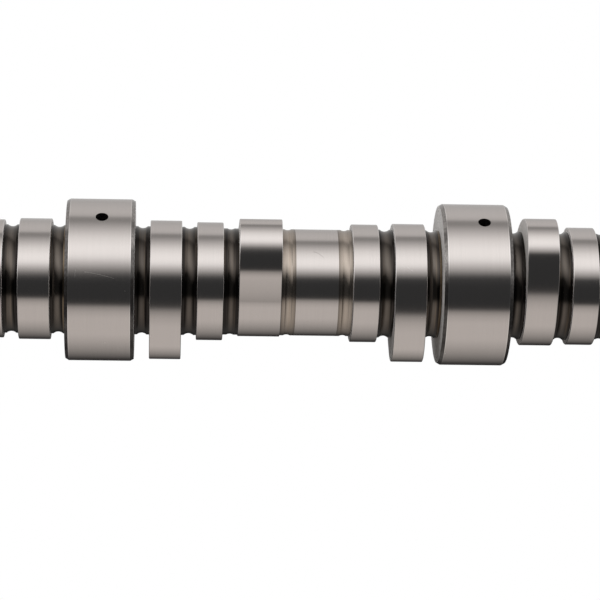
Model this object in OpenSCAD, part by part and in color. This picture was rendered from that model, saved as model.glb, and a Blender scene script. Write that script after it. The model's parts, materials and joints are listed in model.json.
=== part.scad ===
// One-piece overhead camshaft for one bank of a six-cylinder V engine.
// Each of its three bays, between two bearing journals, serves one cylinder. From front to rear
// a bay holds an outer lobe, a round collar, the wide middle lobe, a short ground barrel, a second
// collar and a second outer lobe. The directions of the lobes step by about 120 degrees a bay.
// X runs along the shaft from its nose to its rear end, and the origin is on the axis in the
// middle of the front journal. Lobe and hole directions are angles about the axis: 0 points
// to the front side (-Y), 90 points up (+Z) and 180 points to the back (+Y).

/* [Journals] */
// Radius of the bearing journals
journal_r = 21.3; // [21:0.1:24]
// Width of a journal from face to face
journal_w = 17.9; // [12:0.1:22]
// Distance from one journal's middle to the next, which is also the cylinders' spacing
journal_pitch = 98; // [94:0.5:110]
// Width of the bevel at a journal's edge, measured along the shaft
journal_bevel_w = 0.9; // [0.3:0.05:2.5]
// Depth of the bevel at a journal's edge, measured across the shaft
journal_bevel_d = 0.5; // [0.2:0.05:1.5]

/* [Oil holes] */
// Radius of the oil hole drilled across each journal
oil_hole_r = 1.65; // [0.8:0.05:3]
// Direction of the oil holes' upper mouths
oil_hole_angle = 50; // [0:1:90]
// Distance of each journal's oil hole behind the journal's middle, from front to rear
oil_hole_shifts = [0.4, 0.4, 1.9, 1.9]; // [-4:0.1:4]

/* [Necks] */
// Radius of the necks beside the outer lobes
neck_r = 14.3; // [12:0.1:14.4]
// Width of the necks on both sides of each outer lobe, and in front of the middle lobe
neck_w = 4; // [3:0.1:5]
// Width of the necks on both sides of each barrel
barrel_neck_w = 3.75; // [2.9:0.05:6]
// Width of the scalloped groove in each neck
groove_w = 2.55; // [1:0.05:2.7]
// Depth of the scalloped groove in each neck
groove_depth = 0.5; // [0.1:0.05:1]
// Radius of the ground barrels and of the necks between the two collars
barrel_r = 14.05; // [12:0.05:14.05]

/* [Outer lobes] */
// Width of an outer lobe
outer_lobe_w = 8.3; // [6:0.1:10]
// Radius of an outer lobe's base circle
outer_base_r = 15.85; // [15:0.05:16.4]
// Radius to an outer lobe's tip
outer_tip_r = 20.75; // [19.3:0.05:20.9]
// Radius of the arc round the tip
tip_arc_r = 10.4; // [9:0.1:11]
// Angle from the middle of the lobe to where its flank leaves the base circle
half_opening = 75; // [70:1:85]
// Directions of the tips beside each bay's front journal, from the front bay to the rear bay
front_tips = [157, -82.6, 44]; // [-180:0.1:180]
// Directions of the tips beside each bay's rear journal
rear_tips = [157, -80.3, 44]; // [-180:0.1:180]

/* [Round collars] */
// Width of a round collar
collar_w = 6.9; // [5:0.1:8.5]
// Radius of a round collar
collar_r = 15.55; // [14.8:0.05:18]

/* [Middle lobes] */
// Width of a middle lobe
middle_lobe_w = 11.1; // [8:0.1:14]
// Radius of a middle lobe's base circle
middle_base_r = 14.4; // [14.4:0.05:15]
// Radius to a middle lobe's tip
middle_tip_r = 20.7; // [19.7:0.05:20.9]
// Radius of the arc round the tip
middle_tip_arc_r = 9.25; // [8:0.05:10.4]
// Angle that the tip arc covers on the opening side
middle_tip_turn = 37; // [20:1:45]
// Radius of the shoulder arc behind the tip arc on the opening side
shoulder_r = 14; // [11:0.1:15]
// Radius of the sharper arc on the closing side
closing_r = 6.6; // [5:0.1:7.5]
// Angle from the tip to the start of the closing arc
closing_turn = 5; // [0:1:15]
// Radius of the hollow flanks between these arcs and the base circle
hollow_r = 66; // [40:1:160]
// Directions of the tips, from the front bay to the rear bay
middle_tips = [-77, 43, 163]; // [-180:0.1:180]
// Bevel along the edges of all lobes and collars
lobe_bevel = 0.2; // [0.1:0.05:0.2]

/* [Nose] */
// Radius of the seat for the oil seal, in front of the front journal
seal_seat_r = 13.5; // [12:0.1:18]
// Length of the seat for the oil seal
seal_seat_l = 12; // [6:0.1:16]
// Radius of the seat for the belt pulley
pulley_seat_r = 11.5; // [10.5:0.05:12]
// Length of the seat for the belt pulley
pulley_seat_l = 22; // [18:0.5:35]
// Width of the keyway in the pulley seat
keyway_w = 5; // [3:0.1:7]
// Depth of the keyway
keyway_depth = 3; // [1.5:0.1:3.5]
// Distance from the nose's front face to the keyway's round end
keyway_l = 16; // [10:0.5:17]
// Direction of the keyway
keyway_angle = 50; // [-180:1:180]
// Radius of the tapped hole in the nose, at the crests of its thread
bolt_hole_r = 5.1; // [3:0.05:5.5]
// Depth of the tapped hole
bolt_hole_depth = 30; // [16:0.5:60]
// Bevel at the nose's front edge and round the tapped hole
nose_bevel = 1; // [0.4:0.1:1.4]

/* [Rear end] */
// Radius of the round boss behind the rear journal
rear_boss_r = 12; // [9:0.1:16]
// Length of that boss
rear_boss_l = 4; // [2:0.1:10]
// Bevel at the boss's edge
rear_bevel = 0.8; // [0.2:0.1:1.5]
// Radius of the centre drill's pilot hole
centre_pilot_r = 1.6; // [1:0.1:2.4]
// Depth of that pilot hole from the rear face
centre_pilot_depth = 8; // [6:0.5:12]
// Radius of the centre drill's cone at the rear face
centre_mouth_r = 4; // [3:0.1:5]

/* [Hidden] */

steel = [0.68, 0.66, 0.64];
$fn = 120;

bay_count = 3;
// Half the angle of a turning centre, and half the angle of a drill's point
centre_half_angle = 30;
drill_half_angle = 59;
// How far a cut runs past the face that it starts from
overcut = 1;
// An outline across a lobe reaches this many radii out, to clear the arc that it limits
reach_factor = 2;

// Places along a bay, from the middle of the journal in front of it
outer_start = journal_w / 2 + neck_w;
outer_end = outer_start + outer_lobe_w;
collar_start = outer_end + neck_w;
collar_end = collar_start + collar_w;
middle_start = collar_end + neck_w;
middle_end = middle_start + middle_lobe_w;
rear_collar_start = journal_pitch - collar_end;
rear_outer_start = journal_pitch - outer_end;

nose_face = -journal_w / 2 - seal_seat_l - pulley_seat_l;
seal_seat_start = nose_face + pulley_seat_l;
last_journal = bay_count * journal_pitch;
shaft_end = last_journal + journal_w / 2 + rear_boss_l;

// Middles of the scalloped grooves along one bay
groove_places = [
  outer_start - neck_w / 2, outer_end + neck_w / 2, collar_end + neck_w / 2,
  middle_end + barrel_neck_w / 2, rear_collar_start - barrel_neck_w / 2,
  rear_outer_start - neck_w / 2, rear_outer_start + outer_lobe_w + neck_w / 2
];
groove_arc_r = (groove_w * groove_w / 4 + groove_depth * groove_depth) / (2 * groove_depth);

// Point at a distance and an angle from the axis, in the plane across the shaft
function polar(r, a) = r * [cos(a), sin(a)];

// Local angle of a direction about the shaft, before the shaft is laid along X
function turned(direction) = -90 - direction;

// Everything up to camshaft() is built with the shaft's axis along Z, and laid down there.
module at_station(z, direction = 0) {
  translate([0, 0, z]) rotate([0, 0, turned(direction)]) children();
}

// Round disc with a bevel of one width and depth at both edges
module bevelled_disc(r, w, bevel_w, bevel_d) {
  rotate_extrude()
    polygon([
      [0, 0], [r - bevel_d, 0], [r, bevel_w],
      [r, w - bevel_w], [r - bevel_d, w], [0, w]
    ]);
}

// One tile of a lobe: a bevelled disc, kept only inside an outline across the shaft. The tiles
// of a lobe meet on planes through their arcs' centres, so that each arc runs into the next.
module lobe_tile(centre, r, w, outline) {
  intersection() {
    translate(centre) bevelled_disc(r, w, lobe_bevel, lobe_bevel);
    linear_extrude(w) polygon(outline);
  }
}

// Outer lobe with its tip along +X: a base circle, a tip arc and on each side a flank arc that
// touches both. The flank's radius follows from the base circle, the tip and the opening angle.
module outer_lobe() {
  tip_centre = [outer_tip_r - tip_arc_r, 0];
  opening = cos(half_opening);
  flank_r = (pow(outer_base_r, 2) - pow(tip_arc_r, 2) + pow(tip_centre[0], 2)
             - 2 * outer_base_r * tip_centre[0] * opening)
          / (2 * (outer_base_r - tip_arc_r - tip_centre[0] * opening));
  tip_turn = acos(((flank_r - outer_base_r) * opening + tip_centre[0]) / (flank_r - tip_arc_r));
  reach = reach_factor * flank_r;
  base_ray = [for (side = [-1, 1]) polar(reach, side * half_opening)];
  tip_ray = [for (side = [-1, 1]) tip_centre + polar(reach, side * tip_turn)];
  lobe_tile([0, 0], outer_base_r, outer_lobe_w,
    [[0, 0], base_ray[1], [-reach, reach], [-reach, -reach], base_ray[0]]);
  lobe_tile(tip_centre, tip_arc_r, outer_lobe_w, [tip_centre, tip_ray[0], tip_ray[1]]);
  for (i = [0, 1])
    lobe_tile(base_ray[i] * (outer_base_r - flank_r) / reach, flank_r, outer_lobe_w,
      [[0, 0], base_ray[i], tip_ray[i], tip_centre]);
}

// Centre of the hollow flank that touches a middle lobe's base circle and another of its arcs
function hollow_centre(arc_centre, arc_r, side) =
  let (
    to_arc = norm(arc_centre),
    to_base = middle_base_r + hollow_r,
    swing = acos((pow(to_arc, 2) + pow(to_base, 2) - pow(arc_r + hollow_r, 2)) / (2 * to_arc * to_base))
  )
  polar(to_base, atan2(arc_centre[1], arc_centre[0]) + side * swing);

// Tile with a hollow flank, cut by a disc that flares at both faces to bevel the flank's edges
module hollow_tile(arc_centre, hollow) {
  w = middle_lobe_w;
  flare = lobe_bevel + overcut;
  difference() {
    linear_extrude(w) polygon([[0, 0], hollow, arc_centre]);
    translate(hollow)
      rotate_extrude()
        polygon([
          [0, -overcut], [hollow_r + flare, -overcut], [hollow_r, lobe_bevel],
          [hollow_r, w - lobe_bevel], [hollow_r + flare, w + overcut], [0, w + overcut]
        ]);
  }
}

// Middle lobe with its tip along +X and its opening side towards +Y
module middle_lobe() {
  tip_centre = [middle_tip_r - middle_tip_arc_r, 0];
  shoulder_centre = tip_centre + polar(middle_tip_arc_r - shoulder_r, middle_tip_turn);
  closing_centre = tip_centre + polar(middle_tip_arc_r - closing_r, -closing_turn);
  opening_hollow = hollow_centre(shoulder_centre, shoulder_r, 1);
  closing_hollow = hollow_centre(closing_centre, closing_r, -1);
  reach = reach_factor * middle_tip_r;
  opening_ray = shoulder_centre + polar(reach, middle_tip_turn);
  closing_ray = tip_centre + polar(reach, -closing_turn);
  lobe_tile([0, 0], middle_base_r, middle_lobe_w,
    [[0, 0], opening_hollow, [-reach, reach], [-reach, -reach], closing_hollow]);
  lobe_tile(shoulder_centre, shoulder_r, middle_lobe_w, [shoulder_centre, opening_ray, opening_hollow]);
  lobe_tile(tip_centre, middle_tip_arc_r, middle_lobe_w, [tip_centre, closing_ray, opening_ray]);
  lobe_tile(closing_centre, closing_r, middle_lobe_w, [closing_centre, closing_hollow, closing_ray]);
  hollow_tile(shoulder_centre, opening_hollow);
  hollow_tile(closing_centre, closing_hollow);
}

// Steps of the plain shaft along one bay, which lie inside its two collars
function bay_steps(z) =
  let (
    barrel_start = z + (collar_start + collar_end) / 2,
    barrel_end = z + rear_collar_start + collar_w / 2
  )
  [
    [neck_r, z], [neck_r, barrel_start], [barrel_r, barrel_start],
    [barrel_r, barrel_end], [neck_r, barrel_end], [neck_r, z + journal_pitch]
  ];

// The shaft as it is turned between centres: the nose, the necks and barrels with their
// scalloped grooves, and the rear boss
module turned_shaft() {
  rotate_extrude()
    difference() {
      polygon([
        [0, nose_face], [pulley_seat_r - nose_bevel, nose_face], [pulley_seat_r, nose_face + nose_bevel],
        [pulley_seat_r, seal_seat_start], [seal_seat_r, seal_seat_start], [seal_seat_r, 0],
        for (i = [0 : bay_count - 1]) each bay_steps(i * journal_pitch),
        [rear_boss_r, last_journal], [rear_boss_r, shaft_end - rear_bevel],
        [rear_boss_r - rear_bevel, shaft_end], [0, shaft_end]
      ]);
      for (i = [0 : bay_count - 1], place = groove_places)
        translate([neck_r - groove_depth + groove_arc_r, i * journal_pitch + place])
          circle(groove_arc_r);
    }
}

module journal(z) {
  translate([0, 0, z - journal_w / 2])
    bevelled_disc(journal_r, journal_w, journal_bevel_w, journal_bevel_d);
}

// Oil hole drilled right across a journal
module oil_hole(z) {
  at_station(z, oil_hole_angle)
    rotate([0, 90, 0]) cylinder(r = oil_hole_r, h = 2 * (journal_r + overcut), center = true);
}

module collar(z) {
  translate([0, 0, z]) bevelled_disc(collar_r, collar_w, lobe_bevel, lobe_bevel);
}

// The lobes and collars of one bay
module bay(i) {
  z = i * journal_pitch;
  at_station(z + outer_start, front_tips[i]) outer_lobe();
  collar(z + collar_start);
  at_station(z + middle_start, middle_tips[i]) middle_lobe();
  collar(z + rear_collar_start);
  at_station(z + rear_outer_start, rear_tips[i]) outer_lobe();
}

// Keyway with a round inner end, open at the nose's front face
module keyway() {
  floor_r = pulley_seat_r - keyway_depth;
  slot_l = keyway_l - keyway_w / 2 + overcut;
  at_station(nose_face - overcut, keyway_angle)
    translate([floor_r, 0, 0])
      rotate([90, 0, 90])
        linear_extrude(keyway_depth + overcut) {
          translate([-keyway_w / 2, 0]) square([keyway_w, slot_l]);
          translate([0, slot_l]) circle(keyway_w / 2);
        }
}

// Tapped hole in the nose, with a drill point at its bottom and a bevelled mouth
module bolt_hole() {
  mouth_r = bolt_hole_r + nose_bevel;
  point_l = bolt_hole_r / tan(drill_half_angle);
  translate([0, 0, nose_face])
    rotate_extrude()
      polygon([
        [0, -overcut], [mouth_r + overcut, -overcut], [mouth_r, 0], [bolt_hole_r, nose_bevel],
        [bolt_hole_r, bolt_hole_depth], [0, bolt_hole_depth + point_l]
      ]);
}

// Turning centre in the rear face: a cone that ends in a small pilot hole
module rear_centre() {
  slope = tan(centre_half_angle);
  cone_l = (centre_mouth_r - centre_pilot_r) / slope;
  translate([0, 0, shaft_end])
    rotate_extrude()
      polygon([
        [0, overcut], [centre_mouth_r + overcut * slope, overcut],
        [centre_pilot_r, -cone_l], [centre_pilot_r, -centre_pilot_depth], [0, -centre_pilot_depth]
      ]);
}

module camshaft() {
  color(steel)
    rotate([0, 90, 0])
      difference() {
        union() {
          turned_shaft();
          for (i = [0 : bay_count]) journal(i * journal_pitch);
          for (i = [0 : bay_count - 1]) bay(i);
        }
        for (i = [0 : bay_count]) oil_hole(i * journal_pitch + oil_hole_shifts[i]);
        keyway();
        bolt_hole();
        rear_centre();
      }
}

camshaft();
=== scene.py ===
"""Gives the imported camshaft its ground, turned and heat-tinted steel surfaces, and lights it as
a studio photograph.

Every surface is computed with numpy in the frame of the CAD part: X runs along the shaft from
its nose to its rear end, with the origin in the middle of the front journal. A direction about
the shaft is an angle: 0 points to the camera's side (-Y), a quarter turn points up (+Z).
"""

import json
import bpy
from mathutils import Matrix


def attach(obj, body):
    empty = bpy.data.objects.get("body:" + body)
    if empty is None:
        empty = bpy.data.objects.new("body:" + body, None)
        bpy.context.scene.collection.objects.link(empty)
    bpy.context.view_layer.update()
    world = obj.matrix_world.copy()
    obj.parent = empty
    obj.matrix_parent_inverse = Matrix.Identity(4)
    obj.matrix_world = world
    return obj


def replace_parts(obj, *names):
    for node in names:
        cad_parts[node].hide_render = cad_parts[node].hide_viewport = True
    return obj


bl_info = {
    "name": "Ground Camshaft",
    "version": (1, 0, 0),
    "blender": (4, 5, 0),
    "location": "View3D > Sidebar > Camshaft",
    "description": "Builds the visible surfaces of a one-piece camshaft and its studio",
    "category": "Add Mesh",
}

from math import acos, asin, atan2, cos, hypot, pi, radians, sin, sqrt, tan

import bpy
import numpy as np
from mathutils import Matrix, Vector

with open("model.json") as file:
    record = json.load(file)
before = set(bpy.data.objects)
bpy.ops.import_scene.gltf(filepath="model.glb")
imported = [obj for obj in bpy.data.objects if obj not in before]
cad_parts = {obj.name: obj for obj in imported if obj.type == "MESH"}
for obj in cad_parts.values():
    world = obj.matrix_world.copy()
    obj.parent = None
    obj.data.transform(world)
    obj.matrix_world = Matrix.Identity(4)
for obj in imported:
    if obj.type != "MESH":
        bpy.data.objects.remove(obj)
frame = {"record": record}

NODE = "camshaft"
BODY = "root"

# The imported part's mounts by name, which give the sizes of journals, seats and the tapped hole
MOUNTS = {mount["name"]: mount for mount in frame["record"]["mounts"]}

FULL_TURN = 2 * pi
X_AXIS = np.array([1.0, 0, 0])

# Names of the materials
GROUND = "ground steel"
FACED = "side faces"
TURNED = "turned necks"
DRILLED = "drilled holes"

# Steps round the shaft, round an oil hole's mouth and its bore, round the thread and round half
# of the keyway's inner end
COLUMNS = 240
MOUTH_STEPS = 64
BORE_STEPS = 48
THREAD_STEPS = 96
KEY_STEPS = 12

# Rows from an oil hole's mouth to its square, from one mouth to the other, along the thread,
# over a groove and over one of its plain lands, which has twice as many where it has golden lines
MOUTH_ROWS = 6
BORE_ROWS = 4
THREAD_ROWS = 200
GROOVE_ROWS = 12
LAND_ROWS = 3

# About the longest step along a lobe's outline, as an angle and in metres
STEP_TURN = radians(1.5)
STEP_LENGTH = 0.0006

# The edge of a lobe, from its ground side to its end face. Each row has its distances from the
# side and from the face, as shares of the bevel, and the outward and the endward part of its
# normal
EDGE_ROWS = ((0.0, 1.0, 1.0, 0.0), (0.3, 0.3, 1.0, 0.8), (1.0, 0.0, 0.25, 1.0))

# Tints of ground steel at a polished edge, whose lighter colour is a painted highlight, and at a
# bevel, whose dark colour is painted shade, and how much of their colours they show
EDGE_HIGHLIGHT, BEVEL_SHADE = 1.0, -1.0
HIGHLIGHT_SHARE, SHADE_SHARE = 0.6, 0.75

# Side faces are shaded as if they leaned outwards by this angle, as slightly dished faces do
LEAN = radians(15)

# Half the width of the square round an oil hole's mouth, in radii of the hole
MOUTH_SQUARE = 2.2

# Grooves are shaded with this share of their true slope, because their turning rings spread the
# light along the shaft
GROOVE_SLOPE = 0.5

# Tints of a neck: the painted glint that the middle of its groove adds, the painted shade that a
# land takes on towards the face beside it, the power of that shade, and the tint of a golden line,
# which is a painted highlight
PAINTED_GLINT = 0.13
LAND_SHADE = 0.3
SHADE_POWER = 1.5
GOLDEN_HIGHLIGHT_TINT = -0.6

# Half the angle of a drill's point, and of the cone of a turning centre
DRILL_POINT = radians(59)
CENTRE_CONE = radians(30)

# How often a pattern changes in a metre, along the shaft and in both directions across it
GRINDING = (5200, 60, 60)
CLOUDS = (70, 70, 70)
BEVEL_GRAIN = (1500, 1500, 1500)
FACE_GRAIN = (1900, 1900, 1900)
TURNING = (3800, 30, 30)
HEAT_BANDS = (1300, 12, 12)
BLOTCHES = (420, 120, 120)

# The same for the rings of a side face, out from the axis, and for the cells of specks, in all
# directions, and how many times smaller a speck's radius is than its cell
FACE_RINGS = 2800.0
SPECKS = 170.0
SPECK_SHRINK = 22.0

# Depth of the finest marks, in metres
GRINDING_DEPTH = 0.0000006
TURNING_DEPTH = 0.000002
FACE_DEPTH = 0.00003

# Scratches on the camera's side: their ends along the shaft and in height, four times how far
# they bow up, their half width and their strength, which is negative for a dark one
SCRATCHES = (
    (0.0942, 0.1018, 0.0020, 0.0004, 0.0005, 0.00008, 0.45),
    (0.0918, 0.0920, 0.0007, 0.0026, 0.0, 0.0008, 0.4),
    (0.1535, 0.1562, 0.0080, 0.0064, 0.0014, 0.00010, -0.5),
    (0.1776, 0.1792, 0.0046, 0.0034, -0.0004, 0.00008, 0.5),
)


# Settings

def length(name, description, default):
    """A property in metres."""
    return bpy.props.FloatProperty(
        name=name, description=description, default=default, unit="LENGTH", precision=5
    )


def mounted(name, description, mount, field):
    """A length whose default is one of a mount's sizes, which are in millimetres."""
    return length(name, description, MOUNTS[mount]["dims"][field] / 1000)


def angle(name, description, default):
    """A property that is an angle, with its default given in degrees."""
    return bpy.props.FloatProperty(
        name=name, description=description, default=radians(default), subtype="ANGLE"
    )


def angles(name, description, defaults):
    """One angle per bay, with the defaults given in degrees."""
    return bpy.props.FloatVectorProperty(
        name=name, description=description, size=len(defaults),
        default=[radians(value) for value in defaults], subtype="NONE", unit="ROTATION",
    )


def colour(name, description, red, green, blue):
    """An opaque colour."""
    return bpy.props.FloatVectorProperty(
        name=name, description=description, size=4, default=(red, green, blue, 1),
        min=0, max=1, subtype="COLOR",
    )


class ShaftSizes(bpy.types.PropertyGroup):
    """Sizes shared by the whole shaft, the same as in the CAD part."""

    bays: bpy.props.IntProperty(name="Bays", description="Spaces between journals", default=3)
    pitch: length(
        "Journal pitch", "Distance between the middles of two journals",
        MOUNTS["second_journal"]["pos_m"][0],
    )
    journal_r: mounted(
        "Journal radius", "Radius of the bearing journals", "front_journal", "r_mm"
    )
    journal_w: length("Journal width", "Width from face to face", 0.0179)
    bevel_w: length("Journal bevel width", "Bevel at the edge, along the shaft", 0.0009)
    bevel_d: length("Journal bevel depth", "Bevel at the edge, across the shaft", 0.0005)
    # The polished line inside each bevel is painted lighter, as a painted highlight
    edge_line: length("Edge line", "Width of the polished line inside each bevel", 0.00018)
    hole_r: length("Oil hole radius", "Radius of the cross drillings", 0.00165)
    hole_angle: angle("Oil hole direction", "Direction of the upper mouths", 50)
    hole_shifts: bpy.props.FloatVectorProperty(
        name="Oil hole shifts", description="Distance of each oil hole behind its journal's middle",
        size=4, default=(0.0004, 0.0004, 0.0019, 0.0019), unit="LENGTH",
    )
    neck_r: length("Neck radius", "Radius of the necks beside the outer lobes", 0.0143)
    neck_w: length("Neck width", "Width of the necks beside the lobes", 0.004)
    barrel_neck_w: length("Barrel neck width", "Width of the necks beside a barrel", 0.00375)
    barrel_r: length("Barrel radius", "Radius of the ground barrels", 0.01405)
    groove_w: length("Groove width", "Width of the scalloped grooves", 0.00255)
    groove_depth: length("Groove depth", "Depth of the scalloped grooves", 0.0005)


class LobeSizes(bpy.types.PropertyGroup):
    """Sizes of the lobes and of the round collars."""

    bevel: length("Edge bevel", "Bevel along the edges of lobes and collars", 0.0002)
    outer_w: length("Outer lobe width", "Width of an outer lobe", 0.0083)
    outer_base_r: length("Outer base radius", "Base circle of an outer lobe", 0.01585)
    outer_tip_r: length("Outer tip radius", "Radius to an outer lobe's tip", 0.02075)
    tip_arc_r: length("Tip arc radius", "Radius of the arc round an outer tip", 0.0104)
    half_opening: angle("Half opening", "From the lobe's middle to the end of its flank", 75)
    front_tips: angles("Front tips", "Tips beside each bay's front journal", (157, -82.6, 44))
    rear_tips: angles("Rear tips", "Tips beside each bay's rear journal", (157, -80.3, 44))
    collar_w: length("Collar width", "Width of a round collar", 0.0069)
    collar_r: length("Collar radius", "Radius of a round collar", 0.01555)
    middle_w: length("Middle lobe width", "Width of a middle lobe", 0.0111)
    middle_base_r: length("Middle base radius", "Base circle of a middle lobe", 0.0144)
    middle_tip_r: length("Middle tip radius", "Radius to a middle lobe's tip", 0.0207)
    middle_arc_r: length("Middle tip arc", "Radius of the arc round a middle tip", 0.00925)
    middle_turn: angle("Tip arc turn", "Part of the tip arc on the opening side", 37)
    shoulder_r: length("Shoulder radius", "Arc behind the tip on the opening side", 0.014)
    closing_r: length("Closing radius", "Sharper arc on the closing side", 0.0066)
    closing_turn: angle("Closing turn", "From the tip to the closing arc", 5)
    hollow_r: length("Hollow radius", "Radius of a middle lobe's hollow flanks", 0.066)
    middle_tips: angles("Middle tips", "Tips of the middle lobes", (-77, 43, 163))


class EndSizes(bpy.types.PropertyGroup):
    """Sizes of the nose and of the rear end."""

    seal_r: mounted("Seal seat radius", "Seat for the oil seal", "seal_seat", "r_mm")
    seal_l: mounted("Seal seat length", "Length of that seat", "seal_seat", "length_mm")
    pulley_r: mounted("Pulley seat radius", "Seat for the belt pulley", "pulley_seat", "r_mm")
    pulley_l: length("Pulley seat length", "Length of that seat", 0.022)
    bevel: length("Nose bevel", "Bevel at the front edge and round the tapped hole", 0.001)
    key_w: length("Keyway width", "Width of the keyway", 0.005)
    key_d: length("Keyway depth", "Depth of the keyway", 0.003)
    key_l: length("Keyway length", "From the front face to the round end", 0.016)
    key_angle: angle("Keyway direction", "Direction of the keyway", 50)
    bolt_r: mounted("Bolt hole radius", "Radius at the crests of the thread", "nose_bolt", "r_mm")
    bolt_l: length("Bolt hole depth", "Depth of the tapped hole", 0.03)
    thread_pitch: length("Thread pitch", "Distance between two turns of the thread", 0.00175)
    thread_depth: length("Thread depth", "Depth of the thread's roots", 0.0008)
    boss_r: length("Boss radius", "Round boss behind the rear journal", 0.012)
    boss_l: length("Boss length", "Length of that boss", 0.004)
    boss_bevel: length("Boss bevel", "Bevel at the boss's edge", 0.0008)
    pilot_r: length("Pilot radius", "Pilot hole of the turning centre", 0.0016)
    pilot_l: length("Pilot depth", "Depth of that hole from the rear face", 0.008)
    centre_r: length("Centre radius", "Mouth of the turning centre's cone", 0.004)


class SteelColours(bpy.types.PropertyGroup):
    """Colours of the finishes. Most are pairs that a pattern mixes."""

    ground_low: colour("Ground steel, darker", "Between grinding marks", 0.555, 0.517, 0.497)
    ground_high: colour("Ground steel, lighter", "On grinding marks", 0.625, 0.582, 0.560)
    # Painted highlight: the lighter colour of polished edges
    edge: colour("Polished edge", "Edges of lobes and journals", 0.84, 0.80, 0.78)
    # Painted shade: the dark colour of journal bevels, mixed by their grain
    shaded_bevel_low: colour("Bevel, darker", "Low grain of journal bevels", 0.13, 0.123, 0.118)
    shaded_bevel_high: colour("Bevel, lighter", "High grain of journal bevels", 0.28, 0.266, 0.256)
    scratch_light: colour("Light scratch", "Light scratches and specks", 0.80, 0.76, 0.73)
    scratch_dark: colour("Dark scratch", "Dark scratches", 0.16, 0.15, 0.145)
    face_low: colour("Side face, darker", "Low grain of side faces", 0.46, 0.44, 0.425)
    face_high: colour("Side face, lighter", "High grain of side faces", 0.99, 0.965, 0.945)
    neck_dark_low: colour("Dark neck, darker", "Dark necks", 0.015, 0.0135, 0.0135)
    neck_dark_high: colour("Dark neck, lighter", "Blotches of dark necks", 0.039, 0.034, 0.030)
    neck_light_low: colour("Light neck, darker", "Light necks", 0.53, 0.45, 0.38)
    neck_light_high: colour("Light neck, lighter", "Blotches of light necks", 0.71, 0.62, 0.54)
    # Painted highlight: golden lines along a land
    golden_highlight: colour("Golden line", "Lines on the land of a neck", 0.44, 0.33, 0.215)
    heat: colour("Heat tint", "Brown bands round the necks", 0.30, 0.225, 0.155)
    bore: colour("Bore", "Walls of drilled and tapped holes", 0.16, 0.15, 0.145)


class StudioSettings(bpy.types.PropertyGroup):
    """The camera and the diffusing tent around the shaft."""

    camera_x: length("Camera X", "Camera's place along the shaft", 0.11492)
    camera_y: length("Camera distance", "Distance from the shaft's axis", 0.7564)
    yaw: angle("Yaw", "Turn of the camera to the right", 2.706)
    pitch: angle("Pitch", "Tilt of the camera upwards", -0.351)
    roll: angle("Roll", "Turn of the picture about its middle", 0.791)
    field: angle("Field of view", "Width of the picture", 11.97)
    tent_r: length("Tent radius", "Radius of the diffusing tent", 2.6)
    tent_l: length("Tent length", "Length of the tent along the shaft", 6.0)
    floor_r: length("Floor radius", "Radius of the white floor", 2.5)
    floor_drop: length("Floor drop", "Distance of the floor below the shaft's axis", 2.5)
    upper_reach: length("Upper reach", "Half length of the full light above", 3.0)
    lower_reach: length("Lower reach", "Half length of the full light below", 0.6)
    far_glow: bpy.props.FloatProperty(
        name="Far glow", description="Share of the light left far along the tent", default=0.25
    )
    gain: bpy.props.FloatProperty(name="Tent gain", description="Scales all its light", default=1.0)


# Shapes

def polar(r, a):
    """Point at a distance and an angle from the origin of a plane."""
    return np.array([r * cos(a), r * sin(a)])


def angle_of(point):
    """Angle at which a point of a plane is seen from its origin."""
    return atan2(point[1], point[0])


def across(psi):
    """Unit vectors across the shaft for directions psi: (0, -cos psi, sin psi)."""
    psi = np.asarray(psi, float)
    return np.stack([np.zeros_like(psi), -np.cos(psi), np.sin(psi)], -1)


def grid_quads(rows, columns):
    """Corners of the quads between the points of a grid, which are numbered row by row."""
    index = np.arange(rows * columns).reshape(rows, columns)
    corners = [index[:-1, :-1], index[1:, :-1], index[1:, 1:], index[:-1, 1:]]
    return np.stack(corners, -1).reshape(-1, 4)


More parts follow.
